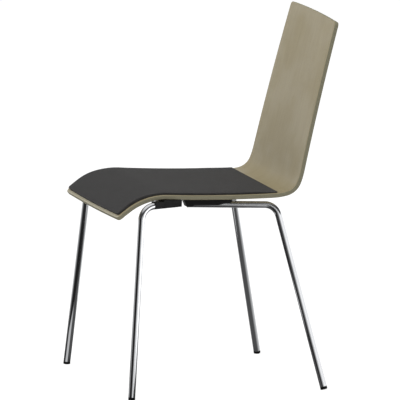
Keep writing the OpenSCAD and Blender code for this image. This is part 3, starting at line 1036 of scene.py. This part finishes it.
@dataclass
class SeatPad:
    """The thin upholstered pad on the seat: a woven cover round a sheet of foam."""

    profile: ShellProfile
    finishes: Finishes
    inset: float = 7.5 * MM
    length: float = 403.0 * MM
    height: float = 5.0 * MM
    crown: float = 1.6 * MM
    corner: float = 7.0 * MM
    edge: float = 1.8 * MM
    gap: float = 0.3 * MM
    bow: float = 2.5 * MM
    swell_share: float = 0.35
    swell_cap: float = 0.65
    swell_frames: int = 20
    swell_force: float = 4.0
    rim_held: float = 0.05 * MM
    cell: float = 8.0 * MM
    rim_lines: tuple[float, ...] = (0.0, 0.1, 0.35, 0.8, 1.3, 1.9, 2.7, 3.9, 5.4, 7.2, 10.0)
    thin_run: float = 70.0 * MM
    thin_share: float = 0.45
    far_thin_share: float = 0.85
    brow: float = 0.42
    brow_place: float = 64.0 * MM
    brow_run: float = 34.0 * MM

    def spacing(self, run: float) -> list[float]:
        """Places of grid lines over a run, close together near both ends.

        Args:
            run: the whole run.

        Returns:
            The places, from 0 to the run.
        """
        near = [part * MM for part in self.rim_lines]
        middle = run - 2 * near[-1]
        count = round(middle / self.cell)
        inner = [near[-1] + middle * k / count for k in range(1, count)]
        return near + inner + [run - part for part in reversed(near)]

    def rounding(self, away: float) -> float:
        """Drop of the upper face at a distance from the pad's edge.

        Args:
            away: distance from the edge.

        Returns:
            How far the face lies under the pad's height.
        """
        if away >= self.edge:
            return 0.0
        return self.edge - math.sqrt(self.edge ** 2 - (self.edge - away) ** 2)

    def upper_face(self) -> bpy.types.Object:
        """Lay the pad's upper face over the shell.

        Returns:
            The face, as an open sheet with a rolled rim.
        """
        rows = self.spacing(self.length)
        widest = self.profile.half_width(self.inset) - self.inset
        columns = [x / widest - 1.0 for x in self.spacing(2.0 * widest)]
        clear_selection()
        bpy.ops.mesh.primitive_grid_add(x_subdivisions=len(columns) - 1,
                                        y_subdivisions=len(rows) - 1, size=1.0)
        piece = bpy.context.active_object
        piece.name = "seat_pad_cover"
        mesh = piece.data
        for corner in mesh.vertices:
            i = round((corner.co.x + 0.5) * (len(columns) - 1))
            j = round((corner.co.y + 0.5) * (len(rows) - 1))
            near = min(rows[j], self.length - rows[j])
            bowed = self.bow * columns[i] ** 2 * max(0.0, 1.0 - rows[j] / (0.1 * self.length))
            s = self.inset + rows[j] + bowed
            half = self.profile.half_width(s) - self.inset
            cut = self.corner - math.sqrt(max(0.0, self.corner ** 2
                                              - max(0.0, self.corner - near) ** 2))
            x = columns[i] * (half - cut)
            side = (half - cut) * (1.0 - abs(columns[i]))
            away = min(near, side)
            across = 1.0 - (x / half) ** 2
            along = 1.0 - (2.0 * rows[j] / self.length - 1.0) ** 2
            swell = self.swell_share * self.crown * math.sqrt(max(0.0, across * along))
            corner.co = self.profile.over(x, s, self.height - self.rounding(away) + swell)
        return piece

    def close_under(self, piece: bpy.types.Object) -> None:
        """Draw the rim straight down to the shell and close the pad from below.

        Args:
            piece: the upper face.
        """
        with editing(piece, Pick.EDGES):
            bpy.ops.mesh.select_all(action="SELECT")
            bpy.ops.mesh.region_to_loop()
            bpy.ops.mesh.extrude_region_move()
        mesh = piece.data
        rim = [corner for corner in mesh.vertices if corner.select]
        points = np.array([corner.co for corner in rim])
        length, _ = self.profile.developed(points)
        for corner, s in zip(rim, length):
            corner.co = self.profile.over(corner.co.x, float(s), self.gap)
        with editing(piece, Pick.EDGES):
            bpy.ops.mesh.edge_face_add()

    def thin_out(self, piece: bpy.types.Object, brow: float = 0.0) -> None:
        """Thin a piece of the pad towards its rear edge, and plump it over the waterfall.

        Args:
            piece: the cover or the foam.
            brow: how much higher it stands over the waterfall, as a share.
        """
        mesh = piece.data
        points = np.array([corner.co for corner in mesh.vertices])
        length, depth = self.profile.developed(points)
        thin_start = self.inset + self.length - self.thin_run
        run = np.clip((length - thin_start) / self.thin_run, 0.0, 1.0)
        near = np.clip(0.5 + points[:, 0] / (0.8 * self.profile.front_width), 0.0, 1.0)
        least = self.far_thin_share + (self.thin_share - self.far_thin_share) * near
        share = 1.0 - (1.0 - least) * run * run * (3.0 - 2.0 * run)
        share *= 1.0 + brow * np.exp(-((length - self.brow_place) / self.brow_run) ** 2)
        for corner, s, low, part in zip(mesh.vertices, length, depth, share):
            corner.co = self.profile.over(corner.co.x, float(s), -float(low) * float(part))
        mesh.update()

    def swell(self, piece: bpy.types.Object) -> None:
        """Let the cover swell a little under the foam's pressure.

        Args:
            piece: the upper face, still an open sheet.
        """
        mesh = piece.data
        rest = np.array([corner.co for corner in mesh.vertices])
        _, depth = self.profile.developed(rest)
        pins = piece.vertex_groups.new(name="pins")
        held = [k for k, low in enumerate(-depth) if low < self.height - self.rim_held]
        pins.add(held, 1.0, "REPLACE")
        cloth = piece.modifiers.new("Swell", "CLOTH")
        for name, value in {
                "quality": 6, "mass": 0.25, "tension_stiffness": 25.0,
                "compression_stiffness": 25.0, "shear_stiffness": 12.0,
                "bending_stiffness": 2.0, "use_pressure": True,
                "uniform_pressure_force": self.swell_force,
                "vertex_group_mass": pins.name}.items():
            setattr(cloth.settings, name, value)
        cloth.settings.effector_weights.gravity = 0.0
        cloth.collision_settings.use_collision = False
        scene = bpy.context.scene
        for times in (cloth.point_cache, scene):
            times.frame_start, times.frame_end = 1, self.swell_frames
        for frame_number in range(1, self.swell_frames + 1):
            scene.frame_set(frame_number)
            bpy.context.view_layer.update()
        activate(piece)
        bpy.ops.object.modifier_apply(modifier=cloth.name)
        moved = np.array([corner.co for corner in mesh.vertices]) - rest
        size = np.linalg.norm(moved, axis=1)
        most = self.swell_cap * self.crown
        LOG.info("seat pad swelled by up to %.2f mm before its cap", size.max() / MM)
        keep = np.where(size > 1e-9, most * np.tanh(size / most) / np.maximum(size, 1e-9), 1.0)
        mesh.vertices.foreach_set("co", (rest + moved * keep[:, None]).ravel())
        mesh.update()
        scene.frame_set(1)

    def build(self) -> None:
        """Make the cover and the foam under it."""
        cover = self.upper_face()
        self.swell(cover)
        self.close_under(cover)
        close_outwards(cover, 1e-7)
        self.thin_out(cover, self.brow)
        lay_sheet_map(cover, self.profile, False)
        smooth(cover, 60.0, weighted=False)
        dress(cover, self.finishes.cloth, "pad_fabric", "pad_cover")
        foam = merged_copy("pad_foam", "seat_pad_foam")
        self.thin_out(foam)
        smooth(foam, 30.0)
        dress(foam, self.finishes.foam, "pad_foam", "pad_foam")


# The frame

def mirrored(point: Vector) -> Vector:
    """The place on the sitter's right side that mirrors one on the left."""
    return Vector((-point.x, point.y, point.z))


@dataclass(frozen=True)
class TubePath:
    """The straight lines of one bent tube: foot, knee and inner end of its bar."""

    foot: Vector
    knee: Vector
    bar_end: Vector

    def on(self, side: Side) -> "TubePath":
        """The path on one side of the chair.

        Args:
            side: the side.

        Returns:
            The path there.
        """
        if side is Side.LEFT:
            return self
        return TubePath(mirrored(self.foot), mirrored(self.knee), mirrored(self.bar_end))

    @property
    def down(self) -> Vector:
        """Direction of the leg, from knee to foot."""
        return (self.foot - self.knee).normalized()

    @property
    def out(self) -> Vector:
        """Direction of the bar, from its inner end to the knee."""
        return (self.knee - self.bar_end).normalized()


@dataclass(frozen=True)
class FrameLayout:
    """Where the legs and bars stand, as in the part's own source."""

    profile: ShellProfile
    corner: float = 201.0 * MM
    foot_out: float = 51.5 * MM
    tube_radius: float = 8.0 * MM
    glide_rim: float = 1.2 * MM
    glide_flat: float = 1.0 * MM
    front_sets: Triple = (20.0 * MM, 60.0 * MM, 151.0 * MM)
    rear_sets: Triple = (484.5 * MM, 394.0 * MM, 182.0 * MM)
    front_sides: Pair = (7.0 * MM, -15.0 * MM)
    rear_sides: Pair = (-31.0 * MM, -31.0 * MM)
    front_gap: float = 2.2 * MM
    rear_gap: float = 4.6 * MM
    rear_fall: float = 3.4

    def path(self, sets: Triple, sides: Pair, gap: float, fall: float) -> TubePath:
        """Path of one left tube.

        Args:
            sets: how far foot, knee and bar's end lie behind the shell's front edge.
            sides: how far knee and bar's end stand out beyond the shell's corners.
            gap: gap between the bar's end and the shell.
            fall: fall of the bar, in degrees.

        Returns:
            The path.
        """
        foot_y, knee_y, end_y = (self.profile.front_edge + part for part in sets)
        end_z = self.profile.under_height(end_y) - gap - self.tube_radius
        knee_z = end_z - (knee_y - end_y) * math.tan(math.radians(fall))
        knee = Vector((self.corner + sides[0], knee_y, knee_z))
        spot = Vector((self.corner + self.foot_out, foot_y, 0.0))
        tilt = math.acos((knee - spot).normalized().z)
        spot.z = ((self.tube_radius - self.glide_rim) * math.sin(tilt)
                  + self.glide_rim * (1.0 - math.cos(tilt)) - self.glide_flat)
        return TubePath(spot, knee, Vector((self.corner + sides[1], end_y, end_z)))

    @property
    def front(self) -> TubePath:
        """Path of the front left tube."""
        return self.path(self.front_sets, self.front_sides, self.front_gap, 0.0)

    @property
    def rear(self) -> TubePath:
        """Path of the rear left tube."""
        return self.path(self.rear_sets, self.rear_sides, self.rear_gap, self.rear_fall)


@dataclass
class TubeLeg:
    """One bent tube with its glide and its plug: a leg, a knee and a bar under the seat."""

    name: str
    path: TubePath
    finishes: Finishes
    radius: float = 8.0 * MM
    wall: float = 1.5 * MM
    bend: float = 34.0 * MM
    glide_height: float = 6.5 * MM
    plug_height: float = 2.5 * MM
    rim: float = 1.2 * MM
    stem_radius: float = 6.05 * MM
    stem_length: float = 18.0 * MM
    arris: float = 0.3 * MM
    sides: int = 48
    bend_steps: int = 20
    rim_steps: int = 4

    def tube(self) -> None:
        """Make the bent tube."""
        out, down = self.path.out, self.path.down
        turn = out.angle(down)
        back = self.bend * math.tan(turn / 2)
        inward = (down - down.dot(out) * out).normalized()
        first = self.path.knee - back * out
        last = self.path.knee + back * down
        clear_selection()
        bpy.ops.mesh.primitive_circle_add(vertices=self.sides, radius=self.radius,
                                          location=self.path.bar_end,
                                          rotation=turned_towards(out, inward).to_euler())
        piece = bpy.context.active_object
        piece.name = f"{self.name}_tube"
        settle(piece)
        low_end = self.path.foot - self.glide_height * down
        with editing(piece, Pick.EDGES):
            bpy.ops.mesh.select_all(action="SELECT")
            extrude_by(first - self.path.bar_end)
            bpy.ops.mesh.spin(steps=self.bend_steps, angle=turn, center=first + self.bend * inward,
                              axis=inward.cross(out))
            extrude_by(low_end - last)
        close_outwards(piece)
        modify(piece, "SOLIDIFY", thickness=self.wall, offset=-1.0, use_even_offset=True)
        soften_edges(piece, self.arris, 60.0)
        smooth(piece, 50.0)
        dress(piece, self.finishes.chrome, "chrome_tube", f"{self.name}_leg")

    def shoe(self, name: str, spot: Vector, inward: Vector, height: float) -> bpy.types.Object:
        """Turn a round cap with a rounded rim on a stem.

        Args:
            name: the piece's name.
            spot: middle of its outer face.
            inward: direction from there into the tube.
            height: height of the cap.

        Returns:
            The cap, in its place.
        """
        clear_selection()
        middle = spot + inward * height / 2
        bpy.ops.mesh.primitive_cylinder_add(vertices=self.sides, radius=self.radius, depth=height)
        piece = bpy.context.active_object
        piece.name = name
        with editing(piece):
            choose(piece, lambda co: co.z < 0.0)
            bpy.ops.mesh.bevel(offset=self.rim, segments=self.rim_steps, affect="EDGES")
            choose(piece, lambda co: co.z > height * 0.4)
            for inset in (self.arris, self.radius - self.stem_radius - self.arris):
                bpy.ops.mesh.inset(thickness=inset, depth=0.0)
            extrude_by(Vector((0.0, 0.0, self.stem_length)))
        piece.matrix_world = Matrix.Translation(middle) @ turned_towards(inward, Vector((1, 0, 0)))
        settle(piece)
        return piece

    def glide(self) -> None:
        """Make the floor glide, cut flat where it stands."""
        piece = self.shoe(f"{self.name}_floor_glide", self.path.foot, -self.path.down,
                          self.glide_height)
        with editing(piece):
            bpy.ops.mesh.select_all(action="SELECT")
            bpy.ops.mesh.bisect(plane_co=(0.0, 0.0, 0.0), plane_no=(0.0, 0.0, -1.0),
                                use_fill=True, clear_outer=True)
        close_outwards(piece)
        smooth(piece, 40.0)
        dress(piece, self.finishes.plastic, "black_plastic", f"{self.name}_glide")

    def plug(self) -> None:
        """Make the plug in the bar's inner end."""
        spot = self.path.bar_end - self.plug_height * self.path.out
        piece = self.shoe(f"{self.name}_bar_plug", spot, self.path.out, self.plug_height)
        close_outwards(piece)
        smooth(piece, 40.0)
        dress(piece, self.finishes.plastic, "black_plastic", f"{self.name}_plug")

    def build(self) -> None:
        """Make tube, glide and plug."""
        self.tube()
        self.glide()
        self.plug()


@dataclass
class UnderSeat:
    """What carries the shell on the bars: saddles, lugs, straps, bushes and fasteners."""

    finishes: Finishes
    saddle_arris: float = 0.7 * MM
    zinc_nodes: tuple[str, ...] = ("rear_left_lug", "rear_right_lug", "front_strap",
                                   "rear_strap", "frame_screws", "shell_inserts")
    plastic_nodes: tuple[str, ...] = ("strap_bushes",)

    def build(self) -> None:
        """Dress the parts under the seat."""
        for end in End:
            for side in Side:
                corner = f"{end.value}_{side.value}"
                saddle = merged_copy(f"{corner}_saddle", f"{corner}_bar_saddle")
                soften_edges(saddle, self.saddle_arris, 40.0)
                smooth(saddle, 30.0)
                dress(saddle, self.finishes.plastic, "black_plastic", f"{corner}_saddle")
        for nodes, finish in ((self.zinc_nodes, self.finishes.zinc),
                              (self.plastic_nodes, self.finishes.plastic)):
            for node in nodes:
                self.finish_node(node, finish)

    @staticmethod
    def finish_node(node: str, finish: bpy.types.Material) -> None:
        """Give a node of the frame its finish.

        Args:
            node: the node's name.
            finish: its material.
        """
        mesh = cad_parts[node].data
        mesh.materials.clear()
        mesh.materials.append(finish)
        LOG.info("%s: as in the CAD, %s", node, finish.name)


# Studio

@dataclass(frozen=True)
class Lamp:
    """A soft area light."""

    name: str
    place: Triple
    size: float
    power: float

    def hang(self, target: Vector) -> None:
        """Add the light, aimed at the chair.

        Args:
            target: where it points.
        """
        data = bpy.data.lights.new(self.name, "AREA")
        data.shape = "DISK"
        data.size = self.size
        data.energy = self.power
        lamp = bpy.data.objects.new(self.name, data)
        bpy.context.scene.collection.objects.link(lamp)
        lamp.location = self.place
        lamp.rotation_euler = (Vector(self.place) - target).to_track_quat("Z", "Y").to_euler()
        lamp.visible_glossy = False


@dataclass(frozen=True)
class FloorPatch:
    """A part of the floor that looks brighter in the chrome, by bearing and distance."""

    origin: Pair
    levels: Stops
    run: Pair
    shares: Pair


@dataclass
class Studio:
    """Pale floor, soft light, and the camera at the photograph's angle."""

    target: Triple = (-0.06083, 0.00895, 0.40284)
    azimuth: float = 72.405
    elevation: float = 9.552
    lens: float = 1650.0
    sensor: float = 36.0
    distance: float = 42.394
    clip: Pair = (1.0, 100.0)
    lamp_target: Triple = (0.0, 0.0, 0.4)
    lamps: tuple[Lamp, ...] = (
        Lamp("key_light", (2.6, -2.6, 3.2), 2.2, 62.0),
        Lamp("top_light", (-0.4, 0.1, 4.0), 2.6, 42.0),
        Lamp("fill_light", (-2.4, -2.2, 2.8), 2.2, 34.0))
    world_level: float = 0.42
    ceiling: Stops = ((0.62, 0.06), (0.92, 0.80))
    ceiling_start: Pair = (0.225, 0.29)
    horizon: Stops = (
        (-180, 1.2), (-128, 1.0), (-97, 0.62), (-78, 0.14), (-64, 0.018), (-40, 0.012),
        (-24, 0.016), (-10, 0.08), (2, 0.30), (13, 0.60), (29, 0.98), (46, 1.15), (60, 1.15),
        (78, 1.0), (100, 1.0), (140, 1.1), (180, 1.15))
    notch: Stops = ((-180, 0.0), (27, 0.0), (32, 0.94), (42, 0.94), (48, 0.0), (180, 0.0))
    notch_band: Stops = ((0.03, 0.0), (0.05, 1.0), (0.165, 1.0), (0.19, 0.0))
    floor_radius: float = 30.0
    floor_sides: int = 96
    floor_tone: float = 0.80
    floor_seen_tone: float = 0.34
    floor_glow: float = 0.85
    far_floor: Stops = (
        (-180, 1.15), (-128, 0.70), (-97, 0.32), (-74, 0.10), (-60, 0.02), (-40, 0.03),
        (-25, 0.09), (-5, 0.12), (35, 0.18), (48, 0.60), (60, 1.1), (180, 1.15))
    far_start: Pair = (1.0, 2.2)
    floor_ring: Stops = (
        (-180, 0.60), (-132, 0.34), (-102, 0.15), (-85, 0.055), (-72, 0.025), (-58, 0.016),
        (-6, 0.016), (8, 0.04), (21, 0.09), (39, 0.20), (57, 0.36), (82, 0.50), (104, 0.62),
        (132, 0.82), (180, 0.90))
    floor_origin: Pair = (-0.2525, 0.2094)
    grey_level: float = 0.085
    grey_end: Pair = (0.28, 0.40)
    patches: tuple[FloorPatch, ...] = (
        FloorPatch((-0.2525, -0.2551), run=(0.38, 0.48), shares=(1.0, 0.0), levels=(
            (-180, 0.0), (-62, 0.0), (-44, 0.55), (4, 0.55), (22, 0.0), (180, 0.0))),
        FloorPatch((0.2525, -0.2551), run=(0.50, 0.75), shares=(0.0, 1.0), levels=(
            (-180, 0.0), (55, 0.0), (63, 0.85), (84, 0.85), (94, 0.0), (180, 0.0))))

    def around(self, bench: Bench, vector: object, stops: Stops,
               origin: Pair = (0.0, 0.0)) -> bpy.types.NodeSocket:
        """A level that depends on the bearing, in degrees to the right of the camera's side.

        Args:
            bench: the material's bench.
            vector: a place or a direction.
            stops: bearing and level of each stop, in order.
            origin: the place that the bearing is taken from.

        Returns:
            The level.
        """
        turned = bench.add("ShaderNodeVectorRotate", rotation_type="Z_AXIS")
        for socket, value in (("Vector", vector), ("Center", (*origin, 0.0)),
                              ("Angle", math.radians(90.0 - self.azimuth))):
            bench.join(value, turned, socket)
        place = bench.axes(turned.outputs[0])
        bearing = bench.maths("ARCTAN2", bench.maths("SUBTRACT", place["Y"], origin[1]),
                              bench.maths("SUBTRACT", place["X"], origin[0]))
        share = bench.maths("MULTIPLY_ADD", bearing, 0.5 / math.pi, 0.5)
        return bench.levels(share, [(0.5 + angle / 360.0, level) for angle, level in stops])

    def light_world(self) -> None:
        """Set up the world: white to the eye, soft light, and what the chrome mirrors."""
        world = bpy.data.worlds.new("studio_world")
        bpy.context.scene.world = world
        world.use_nodes = True
        bench = Bench(world.node_tree)
        sky = bench.add("ShaderNodeTexCoord").outputs["Generated"]
        height = bench.axes(sky)["Z"]
        shade = bench.maths("MULTIPLY", self.around(bench, sky, self.notch),
                            bench.levels(height, self.notch_band))
        low = bench.maths("MULTIPLY", self.around(bench, sky, self.horizon),
                          bench.maths("SUBTRACT", 1.0, shade))
        glossy = bench.blend(bench.ramp(height, *self.ceiling_start), low,
                             bench.levels(height, self.ceiling))
        rays = bench.add("ShaderNodeLightPath").outputs
        lit = bench.blend(rays["Is Glossy Ray"], self.world_level, glossy)
        back = world.node_tree.nodes["Background"]
        bench.join(WHITE, back, "Color")
        bench.join(bench.blend(rays["Is Camera Ray"], lit, 1.0), back, "Strength")

    def mirrored_floor(self, bench: Bench) -> bpy.types.NodeSocket:
        """How bright the floor is in the chrome.

        Args:
            bench: the floor material's bench.

        Returns:
            The brightness.
        """
        place = bench.solid()
        reach = bench.away(place)
        near = bench.maths("MAXIMUM", bench.ramp(reach, *self.grey_end, self.grey_level, 0.0),
                           self.around(bench, place, self.floor_ring, self.floor_origin))
        level = bench.blend(bench.ramp(reach, *self.far_start), near,
                            self.around(bench, place, self.far_floor))
        for patch in self.patches:
            part = bench.ramp(bench.away(place, patch.origin), *patch.run, *patch.shares)
            shown = bench.maths("MULTIPLY", part,
                                self.around(bench, place, patch.levels, patch.origin))
            level = bench.maths("ADD", level, shown)
        return level

    def lay_floor(self) -> None:
        """Lay the pale floor."""
        clear_selection()
        bpy.ops.mesh.primitive_circle_add(vertices=self.floor_sides, radius=self.floor_radius,
                                          fill_type="NGON")
        floor = bpy.context.active_object
        floor.name = "studio_floor"
        material = bpy.data.materials.new("pale_floor")
        material.use_nodes = True
        nodes = material.node_tree.nodes
        nodes.remove(nodes["Principled BSDF"])
        bench = Bench(material.node_tree)
        rays = bench.add("ShaderNodeLightPath").outputs
        lit = bench.fed("ShaderNodeBsdfDiffuse", (self.floor_tone,) * 3)
        pale = bench.fed("ShaderNodeBsdfDiffuse", (self.floor_seen_tone,) * 3)
        glow = bench.fed("ShaderNodeEmission", WHITE, self.floor_glow)
        seen = bench.fed("ShaderNodeAddShader", pale, glow)
        mirror = bench.fed("ShaderNodeEmission", WHITE, self.mirrored_floor(bench))
        plain = bench.fed("ShaderNodeMixShader", rays["Is Camera Ray"], lit, seen)
        whole = bench.fed("ShaderNodeMixShader", rays["Is Glossy Ray"], plain, mirror)
        bench.join(whole, nodes["Material Output"], "Surface")
        floor.data.materials.append(material)

    def set_camera(self) -> None:
        """Place the camera where the photograph was taken from."""
        data = bpy.data.cameras.new("photo_camera")
        data.lens = self.lens
        data.sensor_width = self.sensor
        data.clip_start, data.clip_end = self.clip
        camera = bpy.data.objects.new("photo_camera", data)
        bpy.context.scene.collection.objects.link(camera)
        a, e = math.radians(self.azimuth), math.radians(self.elevation)
        back = Vector((math.sin(a) * math.cos(e), -math.cos(a) * math.cos(e), math.sin(e)))
        camera.location = Vector(self.target) + back * self.distance
        camera.rotation_euler = back.to_track_quat("Z", "Y").to_euler()
        bpy.context.scene.camera = camera

    def build(self) -> None:
        """Set up the studio."""
        bpy.context.scene.view_settings.view_transform = "Standard"
        self.light_world()
        self.lay_floor()
        for lamp in self.lamps:
            lamp.hang(Vector(self.lamp_target))
        self.set_camera()


def clear_bench() -> None:
    """Remove the objects that a new file starts with."""
    clear_selection()
    for name in ("Cube", "Light", "Camera"):
        if name in bpy.data.objects:
            bpy.data.objects[name].select_set(True)
    bpy.ops.object.delete()


def main() -> None:
    """Build the chair, its floor, its light and its camera."""
    logging.basicConfig(level=logging.INFO, format="%(name)s %(message)s")
    clear_bench()
    Studio().build()
    finishes = Finishes.build()
    profile = ShellProfile()
    Shell(profile, finishes).build()
    SeatPad(profile, finishes).build()
    layout = FrameLayout(profile)
    for end, path in ((End.FRONT, layout.front), (End.REAR, layout.rear)):
        for side in Side:
            TubeLeg(f"{end.value}_{side.value}", path.on(side), finishes).build()
    UnderSeat(finishes).build()


if __name__ == "__main__":
    main()
